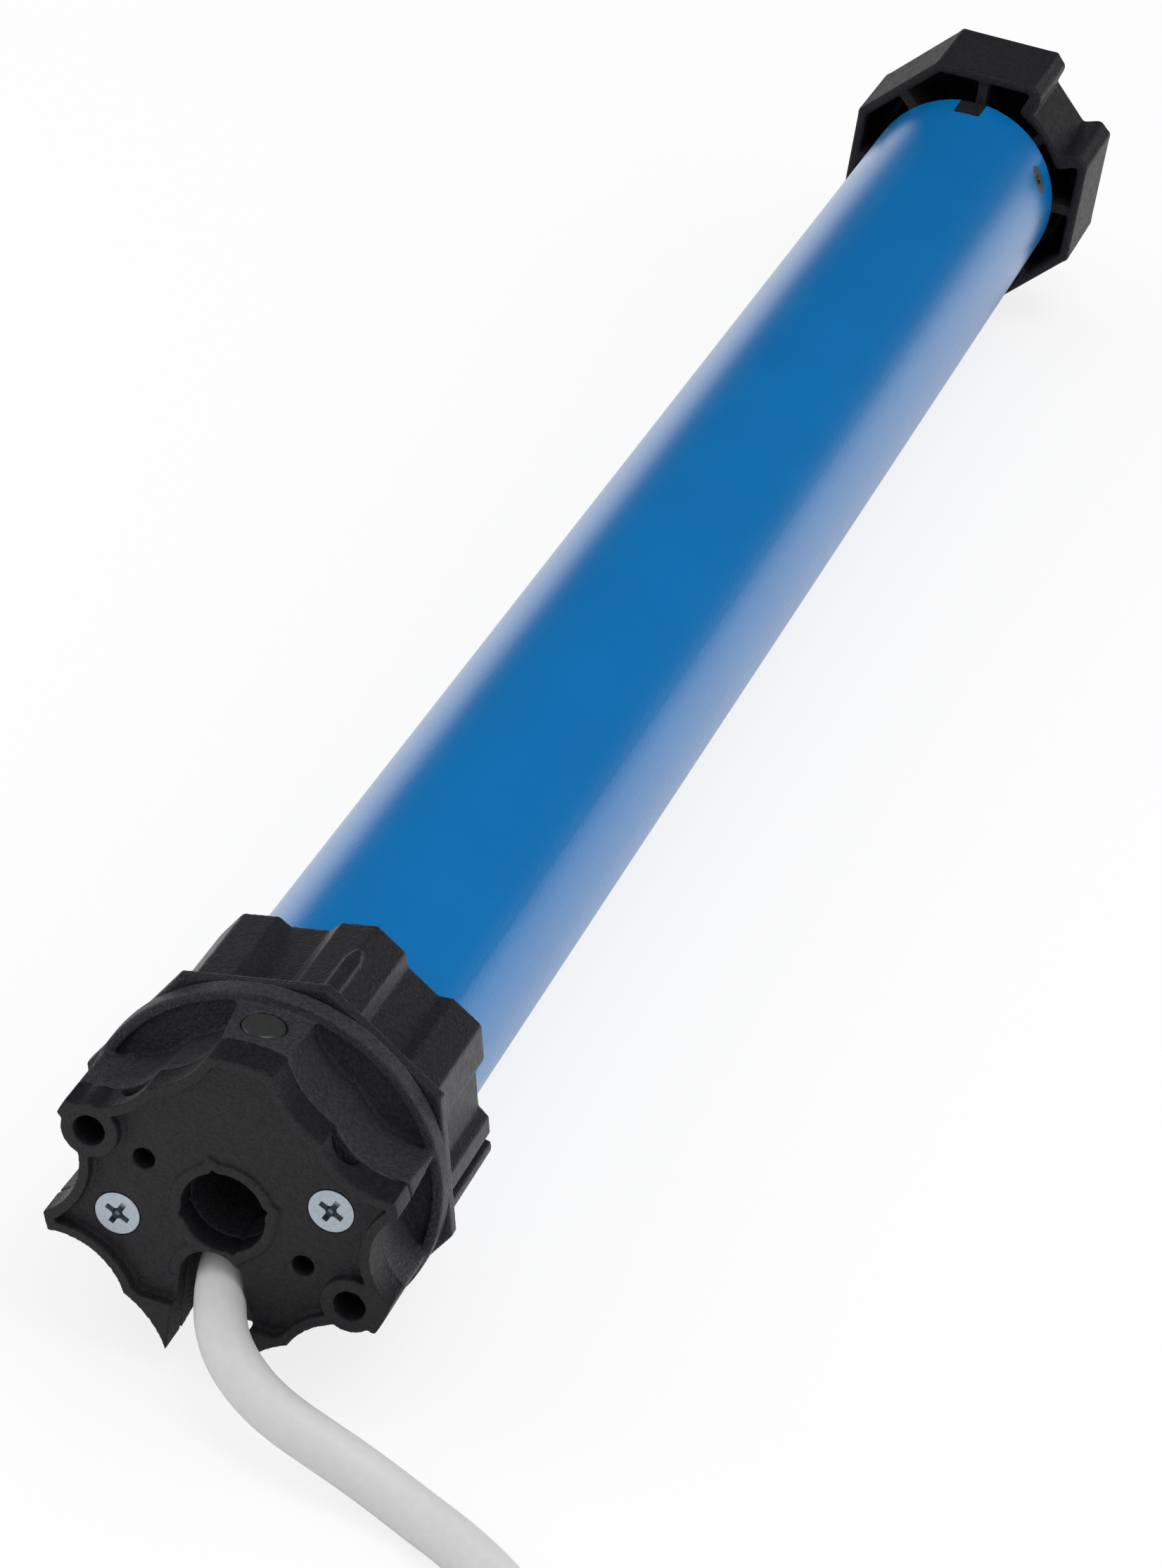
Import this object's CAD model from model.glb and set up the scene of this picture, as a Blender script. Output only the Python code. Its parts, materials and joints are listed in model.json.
# Dresses the tubular roller blind motor for the render. Lengths of the part are in millimetres and
# are multiplied by MM where Blender takes them. The floor, lamps and grain are in metres.
import json
import math
import bpy
from mathutils import Matrix, Vector


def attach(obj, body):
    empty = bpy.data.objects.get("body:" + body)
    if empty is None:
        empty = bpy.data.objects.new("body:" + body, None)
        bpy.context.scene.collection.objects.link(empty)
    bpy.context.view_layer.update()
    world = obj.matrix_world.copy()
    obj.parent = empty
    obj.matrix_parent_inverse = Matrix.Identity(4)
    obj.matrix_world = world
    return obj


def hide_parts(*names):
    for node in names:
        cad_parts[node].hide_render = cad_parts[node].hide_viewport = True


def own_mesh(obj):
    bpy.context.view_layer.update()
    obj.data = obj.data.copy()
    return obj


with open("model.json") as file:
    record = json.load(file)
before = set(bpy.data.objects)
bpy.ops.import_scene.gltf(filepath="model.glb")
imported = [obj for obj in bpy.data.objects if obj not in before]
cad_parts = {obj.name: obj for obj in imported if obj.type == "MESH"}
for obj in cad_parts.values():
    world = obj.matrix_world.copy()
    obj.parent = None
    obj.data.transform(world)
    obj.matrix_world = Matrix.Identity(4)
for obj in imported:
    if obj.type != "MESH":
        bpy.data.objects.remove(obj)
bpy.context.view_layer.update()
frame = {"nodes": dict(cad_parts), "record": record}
NODES = frame["nodes"]
MM = 0.001
SCENE = bpy.context.scene


# Camera, at the photograph's viewing angle
CAMERA_PLACE = Vector((-583.811, -177.903, 429.915)) * MM
CAMERA_RIGHT = Vector((0.303171, -0.940901, 0.150970))
CAMERA_AHEAD = Vector((0.848705, 0.194556, -0.491780))
CAMERA_UP = CAMERA_RIGHT.cross(CAMERA_AHEAD)
FOCAL_PX = 6907.63
PHOTO_H = 2230
SENSOR = 36

camera_data = bpy.data.cameras.new("photo_camera")
camera = bpy.data.objects.new("photo_camera", camera_data)
SCENE.collection.objects.link(camera)
axes = Matrix((CAMERA_RIGHT, CAMERA_UP, -CAMERA_AHEAD)).transposed()
camera.matrix_world = Matrix.Translation(CAMERA_PLACE) @ axes.to_4x4()
camera_data.sensor_width = SENSOR
camera_data.lens = FOCAL_PX / PHOTO_H * SENSOR
camera_data.clip_start = 0.01
camera_data.clip_end = 20
SCENE.camera = camera


# Supply lead, from the head to the start of its coil
LEAD_D = 8.2
FLOOR_Z = -31.5
LEAD_Z = FLOOR_Z + LEAD_D / 2
LEAD_ROUTE = [
    (11.5, 0.5, -12.7), (8.4, 0.3, -13.5), (5.1, -0.4, -14.7), (1.6, -1.6, -16.1),
    (-2.1, -3.4, -17.5), (-5.7, -6, -18.7), (-9, -9.7, -19.9), (-11.6, -14.2, -21.2),
    (-13.4, -19.4, -22.4), (-14.6, -25.2, -23.6), (-15.6, -31.2, -25), (-17, -37.4, -26.4),
    (-19.3, -43.9, -27.3), (-22.5, -50.4, LEAD_Z)]
ROUTE_HEADING = Vector((-0.46, -0.888, 0))
FLOOR_STEPS = 10
FINE_STEPS = 6
LEAD_SIDES = 10

# Coil: it winds inwards on the floor, climbs, and winds outwards on top. Its end swings clear of
# the turns and drops to the floor.
COIL_R = 55
COIL_CENTRE = Vector((-129, -47, LEAD_Z))
GATE_ANGLE = math.radians(-70)
LEAD_PITCH = 8.8
TURNS = 6 + 11 / 36
TURNS_IN = TURNS / 2
CLIMB_TURNS = 0.5
CLIMB_AT = TURNS_IN - CLIMB_TURNS / 2
SWING_OUT = 8
SWING_TURNS = 0.28
SWING_AT = TURNS - 0.45
DROP_TURNS = 0.3
DROP_AT = TURNS - DROP_TURNS
COIL_STEPS = 40


def ease(u):
    v = min(1, max(0, u))
    return v * v * (3 - 2 * v)


def catmull(points, steps):
    """A smooth line through points, with steps pieces between each two."""
    ends = [points[0] * 2 - points[1]] + points + [points[-1] * 2 - points[-2]]
    line = []
    for i in range(1, len(ends) - 2):
        a, b, c, d = ends[i - 1:i + 3]
        for k in range(steps):
            t = k / steps
            line.append(0.5 * (2 * b + (c - a) * t + (2 * a - 5 * b + 4 * c - d) * t ** 2
                               + (3 * b - a - 3 * c + d) * t ** 3))
    return line + [points[-1]]


def around(angle):
    return Vector((math.cos(angle), math.sin(angle), 0))


def onward(angle):
    """Direction in which the coil runs at an angle."""
    return Vector((math.sin(angle), -math.cos(angle), 0))


def coil_points():
    """The coil's line, and the directions along and across it at its end."""
    line = []
    for i in range(int(TURNS * COIL_STEPS) + 1):
        t = i / COIL_STEPS
        r = COIL_R - LEAD_PITCH * (t if t < TURNS_IN else TURNS - t)
        r += SWING_OUT * ease((t - SWING_AT) / SWING_TURNS)
        layer = ease((t - CLIMB_AT) / CLIMB_TURNS) - ease((t - DROP_AT) / DROP_TURNS)
        angle = GATE_ANGLE - 2 * math.pi * t
        line.append(COIL_CENTRE + r * around(angle) + Vector((0, 0, LEAD_PITCH * layer)))
    angle = GATE_ANGLE - 2 * math.pi * TURNS
    return line + [line[-1] + LEAD_D * onward(angle)], onward(angle), around(angle)


def floor_curve():
    """The lead's bend on the floor, from the end of its route to the coil's first point."""
    a = Vector(LEAD_ROUTE[-1])
    d = COIL_CENTRE + COIL_R * around(GATE_ANGLE) - LEAD_D * onward(GATE_ANGLE)
    pull = (d - a).length / 3
    b = a + pull * ROUTE_HEADING
    c = d - pull * onward(GATE_ANGLE)
    line = []
    for i in range(1, FLOOR_STEPS + 1):
        u = i / FLOOR_STEPS
        v = 1 - u
        line.append(v ** 3 * a + 3 * u * v * v * b + 3 * u * u * v * c + u ** 3 * d)
    return line


def tube_curve(name, line, diameter, sides):
    curve = bpy.data.curves.new(name, "CURVE")
    curve.dimensions = "3D"
    spline = curve.splines.new("POLY")
    spline.points.add(len(line) - 1)
    for point, place in zip(spline.points, line):
        point.co = (*(place * MM), 1)
    spline.use_smooth = True
    curve.bevel_depth = diameter / 2 * MM
    curve.bevel_resolution = sides
    curve.use_fill_caps = True
    obj = bpy.data.objects.new(name, curve)
    SCENE.collection.objects.link(obj)
    return obj


coil, end_heading, end_side = coil_points()
route = [Vector(p) for p in LEAD_ROUTE]
lead_line = catmull(route + floor_curve(), FINE_STEPS) + coil
lead = tube_curve("supply_lead", lead_line, LEAD_D, LEAD_SIDES)

# Cores: they leave the sheath as a square, fan out side by side and sink to the floor
CORE_D = 2.4
CORE_LEN = 52
CORE_PITCH = 3.4
CORE_OFF = 1.35
CORE_CORNERS = [(-1, -1), (-1, 1), (1, 1), (1, -1)]
FAN_LEN = 20
SINK_AT = 10
SINK_LEN = 30
CORE_STEPS = 30
CORE_SIDES = 5
CORE_Z = FLOOR_Z + CORE_D / 2


def core_point(k, s):
    """Where core k is, s along it."""
    fan = ease(s / FAN_LEN)
    sink = ease((s - SINK_AT) / SINK_LEN)
    corner_across, corner_up = CORE_CORNERS[k]
    across = (1 - fan) * corner_across * CORE_OFF + fan * (k - 1.5) * CORE_PITCH
    up = (1 - sink) * corner_up * CORE_OFF + sink * (CORE_Z - LEAD_Z)
    return coil[-1] + s * end_heading + across * end_side + Vector((0, 0, up))


cores = []
for k in range(len(CORE_CORNERS)):
    line = [core_point(k, CORE_LEN * i / CORE_STEPS) for i in range(CORE_STEPS + 1)]
    cores.append(tube_curve("lead_core_%d" % (k + 1), line, CORE_D, CORE_SIDES))


# Materials. Noise scales are per metre, and the depths of grain are in metres.
BLACK_COLOUR = (0.0145, 0.0139, 0.0164)
BLACK_SHADES = (0.74, 1.27)
BLACK_ROUGHNESS = 0.45
BLACK_GRAIN = 2000
BLACK_CLOUDS = 1500
BLACK_SPOTS = 900
PAINT = (0.0, 0.145, 0.41)
PAINT_DEEP = (0.0, 0.141, 0.402)
PAINT_LIGHT = (0.0, 0.149, 0.418)
PAINT_GRAIN = 1500
PAINT_CLOUDS = 40
METAL_SHADE = 0.82
METAL_ROUGHNESS = (0.85, 1.25)
CORE_ROUGHNESS = 0.35
# Parts of the noise's range that become the whole change of a colour or a roughness
COLOUR_RANGE = (0.35, 0.65)
ROUGH_RANGE = (0.3, 0.7)
# The mix node's colour sockets share their names with others, so they go by number
MIX_A = 6
MIX_B = 7
MIX_RESULT = 2


def add(owner, kind, **values):
    node = owner.node_tree.nodes.new(kind)
    for key, value in values.items():
        if key in node.inputs:
            node.inputs[key].default_value = value
        else:
            setattr(node, key, value)
    return node


def wire(owner, a, a_out, b, b_in):
    owner.node_tree.links.new(a.outputs[a_out], b.inputs[b_in])


def shader_of(material):
    return material.node_tree.nodes["Principled BSDF"]


def shade(name, colour, roughness, metallic=0.0, specular=0.5, coat=0.0, coat_roughness=0.2):
    material = bpy.data.materials.new(name)
    material.use_nodes = True
    inputs = shader_of(material).inputs
    inputs["Base Color"].default_value = (*colour, 1)
    inputs["Roughness"].default_value = roughness
    inputs["Metallic"].default_value = metallic
    inputs["Specular IOR Level"].default_value = specular
    inputs["Coat Weight"].default_value = coat
    inputs["Coat Roughness"].default_value = coat_roughness
    return material


def noise(material, scale, detail, stretch=(1, 1, 1)):
    """Noise in the object's own metres, with features about 1 / scale metres wide."""
    place = add(material, "ShaderNodeTexCoord")
    turn = add(material, "ShaderNodeMapping", Scale=stretch)
    wire(material, place, "Object", turn, "Vector")
    node = add(material, "ShaderNodeTexNoise", Scale=scale, Detail=detail)
    wire(material, turn, "Vector", node, "Vector")
    return node


def span(owner, low, high, a, b):
    """A node that maps low..high to a..b."""
    return add(owner, "ShaderNodeMapRange",
               **{"From Min": low, "From Max": high, "To Min": a, "To Max": b})


def grain(material, scale, depth, detail=3.0, stretch=(1, 1, 1)):
    source = noise(material, scale, detail, stretch)
    bump = add(material, "ShaderNodeBump", Strength=1.0, Distance=depth)
    wire(material, source, "Fac", bump, "Height")
    wire(material, bump, "Normal", shader_of(material), "Normal")
    return source


def mottle(material, source, colour_a, colour_b):
    """Colours the surface from colour_a, where source is low, to colour_b, where it is high."""
    mix = add(material, "ShaderNodeMix", data_type="RGBA")
    mix.inputs[MIX_A].default_value = (*colour_a, 1)
    mix.inputs[MIX_B].default_value = (*colour_b, 1)
    amount = span(material, *COLOUR_RANGE, 0, 1)
    wire(material, source, "Fac", amount, "Value")
    wire(material, amount, "Result", mix, "Factor")
    wire(material, mix, MIX_RESULT, shader_of(material), "Base Color")


def vary_roughness(material, source, low, high):
    rough = span(material, *ROUGH_RANGE, low, high)
    wire(material, source, "Fac", rough, "Value")
    wire(material, rough, "Result", shader_of(material), "Roughness")


def black_plastic(name, tone, depth, sheen=0.25, low=0.38, high=0.54):
    """Spark-eroded moulding: tone scales its colour, depth is its grain's, and its roughness goes
    from low to high."""
    colour = [tone * c for c in BLACK_COLOUR]
    material = shade(name, colour, BLACK_ROUGHNESS, specular=sheen)
    grain(material, BLACK_GRAIN, depth)
    clouds = noise(material, BLACK_CLOUDS, 3)
    mottle(material, clouds, *([factor * c for c in colour] for factor in BLACK_SHADES))
    vary_roughness(material, noise(material, BLACK_SPOTS, 2), low, high)
    return material


def blue_paint():
    material = shade("blue_paint", PAINT, 0.24, specular=0.4, coat=0.33, coat_roughness=0.22)
    grain(material, PAINT_GRAIN, 0.00004, 2)
    mottle(material, noise(material, PAINT_CLOUDS, 2), PAINT_DEEP, PAINT_LIGHT)
    return material


def metal(name, colour, roughness, scale=1500, depth=0.00002, stretch=(1, 1, 1)):
    material = shade(name, colour, roughness, metallic=1.0)
    source = grain(material, scale, depth, 2, stretch)
    mottle(material, source, [METAL_SHADE * c for c in colour], colour)
    vary_roughness(material, source, *(roughness * factor for factor in METAL_ROUGHNESS))
    return material


def plastic(name, colour, roughness, scale=1200, depth=0.00002, spread=0.12, specular=0.5):
    material = shade(name, colour, roughness, specular=specular)
    source = grain(material, scale, depth)
    mottle(material, source, [c * (1 - spread) for c in colour], [c * (1 + spread) for c in colour])
    return material


METALS = {
    "screw_zinc": dict(colour=(0.46, 0.52, 0.58), roughness=0.36),
    "screw_steel": dict(colour=(0.36, 0.37, 0.4), roughness=0.4),
    "spring_steel": dict(colour=(0.4, 0.4, 0.43), roughness=0.35),
    "bearing_steel": dict(colour=(0.5, 0.5, 0.53), roughness=0.25, scale=2500, depth=0.00001),
    "core_steel": dict(colour=(0.33, 0.33, 0.36), roughness=0.45),
    "gear_steel": dict(colour=(0.4, 0.4, 0.43), roughness=0.35),
    "cast_metal": dict(colour=(0.5, 0.5, 0.53), roughness=0.5, scale=900, depth=0.00005),
    "brass_pins": dict(colour=(0.62, 0.44, 0.18), roughness=0.32),
    "copper": dict(colour=(0.5, 0.2, 0.08), roughness=0.35, scale=2000, depth=0.0001,
                   stretch=(0.1, 1, 1))}
PLASTICS = {
    "dark_plastic": dict(colour=(0.03, 0.029, 0.03), roughness=0.45),
    "button_plastic": dict(colour=(0.03, 0.032, 0.031), roughness=0.3, scale=2500, depth=0.00001),
    "board_green": dict(colour=(0.02, 0.12, 0.05), roughness=0.35, scale=700, depth=0.00003,
                        spread=0.2),
    "relay_blue": dict(colour=(0.03, 0.09, 0.36), roughness=0.3),
    "sleeve_blue": dict(colour=(0.02, 0.03, 0.12), roughness=0.3),
    "terminal_green": dict(colour=(0.1, 0.36, 0.12), roughness=0.4),
    "white_plastic": dict(colour=(0.7, 0.7, 0.72), roughness=0.4, spread=0.04),
    "friction_grey": dict(colour=(0.09, 0.07, 0.06), roughness=0.85, scale=1500, depth=0.0001,
                          spread=0.3),
    "gear_plastic": dict(colour=(0.68, 0.64, 0.54), roughness=0.4, spread=0.05),
    "white_sheath": dict(colour=(0.6, 0.59, 0.597), roughness=0.45, scale=600, depth=0.00003,
                         spread=0.02, specular=0.4)}
CORES = {
    "core_brown": (0.09, 0.035, 0.015), "core_blue": (0.02, 0.06, 0.35),
    "core_black": (0.012, 0.012, 0.012), "core_green": (0.08, 0.35, 0.03)}

core_plastics = [plastic(name, colour, CORE_ROUGHNESS) for name, colour in CORES.items()]
by_slot = {
    "black_plastic": black_plastic("black_plastic", 1.1, 0.00018, sheen=0.16, low=0.4),
    "blue_paint": blue_paint(),
    "core_sheath": core_plastics[1],
    **{name: metal(name, **look) for name, look in METALS.items()},
    **{name: plastic(name, **look) for name, look in PLASTICS.items()}}
by_node = {
    "head_cover": black_plastic("cover_plastic", 0.85, 0.00018),
    "head_body": black_plastic("body_plastic", 2.2, 0.00032),
    "crown": black_plastic("crown_plastic", 1.2, 0.00016, sheen=0.32, low=0.32, high=0.45)}
for part in frame["record"]["subparts"]:
    materials = NODES[part["node"]].data.materials
    materials.clear()
    materials.append(by_node.get(part["node"], by_slot[part["material_slot"]]))


# Rounded edges: a skin's voxel and its passes of smoothing, or a bevel's width
SKINS = {
    "head_cover": (0.22, 4), "head_body": (0.28, 4), "crown": (0.28, 8), "drive_wheel": (0.28, 30)}
BEVELS = {"set_button": 0.2, "cover_screws": 0.08, "tube_screws": 0.06, "head_screws": 0.06}
FACES_KEPT = 0.15
WELD_GAP = 0.002
FLAT_ANGLE = math.radians(0.4)
EDGE_ANGLE = math.radians(28)


def mould(obj, voxel, passes):
    """Rounds all edges of a thick moulded piece: a fine skin over it, relaxed, with fewer faces."""
    skin = obj.modifiers.new("skin", "REMESH")
    skin.mode = "VOXEL"
    skin.voxel_size = voxel * MM
    skin.use_smooth_shade = True
    relax = obj.modifiers.new("relax", "SMOOTH")
    relax.factor = 0.5
    relax.iterations = passes
    thin = obj.modifiers.new("thin", "DECIMATE")
    thin.ratio = FACES_KEPT


def soften(obj, width):
    """Rounds the sharp edges of a small piece with a bevel."""
    weld = obj.modifiers.new("weld", "WELD")
    weld.merge_threshold = WELD_GAP * MM
    flat = obj.modifiers.new("flat", "DECIMATE")
    flat.decimate_type = "DISSOLVE"
    flat.angle_limit = FLAT_ANGLE
    bevel = obj.modifiers.new("round", "BEVEL")
    bevel.width = width * MM
    bevel.segments = 2
    bevel.limit_method = "ANGLE"
    bevel.angle_limit = EDGE_ANGLE
    bevel.use_clamp_overlap = True
    bevel.harden_normals = False
    bevel.miter_outer = "MITER_ARC"
    normals = obj.modifiers.new("normals", "WEIGHTED_NORMAL")
    normals.keep_sharp = True


for node, (voxel, passes) in SKINS.items():
    mould(NODES[node], voxel, passes)
for node, width in BEVELS.items():
    soften(NODES[node], width)


# Button spring, which shortens as the button goes down
SPRING_PLACE = Vector((12.1, 0.8, 0))
SPRING_LOW = 23.5
SPRING_HIGH = 26.7
SPRING_R = 2.2
SPRING_TURNS = 4
SPRING_STEPS = 96
SPRING_SIDES = 3
WIRE_D = 0.5

spring_line = []
for i in range(SPRING_STEPS + 1):
    t = i / SPRING_STEPS
    height = Vector((0, 0, SPRING_LOW + (SPRING_HIGH - SPRING_LOW) * t))
    spring_line.append(SPRING_PLACE + SPRING_R * around(2 * math.pi * SPRING_TURNS * t) + height)
spring_curve = tube_curve("spring_curve", spring_line, WIRE_D, SPRING_SIDES)
bpy.context.view_layer.update()
shape = spring_curve.evaluated_get(bpy.context.evaluated_depsgraph_get())
spring = bpy.data.objects.new("button_coil", bpy.data.meshes.new_from_object(shape))
SCENE.collection.objects.link(spring)
bpy.data.objects.remove(spring_curve)
spring.data.materials.clear()
spring.data.materials.append(by_slot["spring_steel"])
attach(spring, "motor_body")
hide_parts("button_spring")
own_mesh(spring)


# What the lead and its cores stand for
lead.data.materials.append(by_slot["white_sheath"])
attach(lead, "motor_body")
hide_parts("free_lead", "lead_coil")
for core, material in zip(cores, core_plastics):
    core.data.materials.append(material)
    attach(core, "motor_body")
    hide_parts("lead_cores")


# Floor: matt paper that the camera sees nearly white, with the object's shadow
FLOOR_HALF = 4.0
FLOOR_GAP = 0.0002
PAPER_GREY = 0.86
PAPER_GLOW = 0.8
WHITE = (1, 1, 1, 1)

floor_mesh = bpy.data.meshes.new("floor")
corners = [(x * FLOOR_HALF, y * FLOOR_HALF, 0) for x, y in ((-1, -1), (1, -1), (1, 1), (-1, 1))]
floor_mesh.from_pydata(corners, [], [(0, 1, 2, 3)])
floor = bpy.data.objects.new("floor", floor_mesh)
floor.location.z = FLOOR_Z * MM - FLOOR_GAP
SCENE.collection.objects.link(floor)
paper = bpy.data.materials.new("paper")
paper.use_nodes = True
paper.node_tree.nodes.clear()
matt = add(paper, "ShaderNodeBsdfDiffuse", Color=(PAPER_GREY, PAPER_GREY, PAPER_GREY, 1))
glow = add(paper, "ShaderNodeEmission", Color=WHITE, Strength=1.0)
path = add(paper, "ShaderNodeLightPath")
glow_share = add(paper, "ShaderNodeMath", operation="MULTIPLY")
glow_share.inputs[1].default_value = PAPER_GLOW
mix = add(paper, "ShaderNodeMixShader")
out = add(paper, "ShaderNodeOutputMaterial")
wire(paper, path, "Is Camera Ray", glow_share, 0)
wire(paper, glow_share, 0, mix, 0)
wire(paper, matt, 0, mix, 1)
wire(paper, glow, 0, mix, 2)
wire(paper, mix, 0, out, 0)
floor_mesh.materials.append(paper)


# World: white to the camera, and a plain sky as light. Reflections see a studio that goes from
# white at the horizon to dark above it.
SKY = 0.85
HORIZON_WHITE = 0.9
DARK_FROM = 0.12

world = bpy.data.worlds.new("studio")
SCENE.world = world
world.use_nodes = True
sky = world.node_tree.nodes["Background"]
sky.inputs["Color"].default_value = WHITE
sky.inputs["Strength"].default_value = SKY
seen = add(world, "ShaderNodeBackground", Color=WHITE)
studio = add(world, "ShaderNodeBackground", Strength=1.0)
place = add(world, "ShaderNodeTexCoord")
split = add(world, "ShaderNodeSeparateXYZ")
rise = span(world, 0.0, DARK_FROM, HORIZON_WHITE, 0.0)
wire(world, place, "Generated", split, 0)
wire(world, split, "Z", rise, "Value")
wire(world, rise, "Result", studio, "Color")
path = add(world, "ShaderNodeLightPath")
gloss = add(world, "ShaderNodeMixShader")
both = add(world, "ShaderNodeMixShader")
wire(world, path, "Is Glossy Ray", gloss, 0)
wire(world, sky, 0, gloss, 1)
wire(world, studio, 0, gloss, 2)
wire(world, path, "Is Camera Ray", both, 0)
wire(world, gloss, 0, both, 1)
wire(world, seen, 0, both, 2)
wire(world, both, 0, world.node_tree.nodes["World Output"], 0)


# Soft lamps, all turned to the head's end of the tube
LAMP_TARGET = Vector((0.1, 0, 0))


def softbox(name, place, size, watts):
    data = bpy.data.lights.new(name, "AREA")
    data.energy = watts
    data.size = size
    lamp = bpy.data.objects.new(name, data)
    SCENE.collection.objects.link(lamp)
    lamp.location = place
    lamp.rotation_euler = (LAMP_TARGET - Vector(place)).to_track_quat("-Z", "Y").to_euler()


softbox("key", (-0.1, -0.3, 1.4), 0.7, 5)
softbox("left", (-0.2, 1.2, 0.6), 0.8, 2.5)
softbox("right", (-0.1, -1.2, 0.5), 0.8, 2.5)

SCENE.view_settings.view_transform = "Standard"
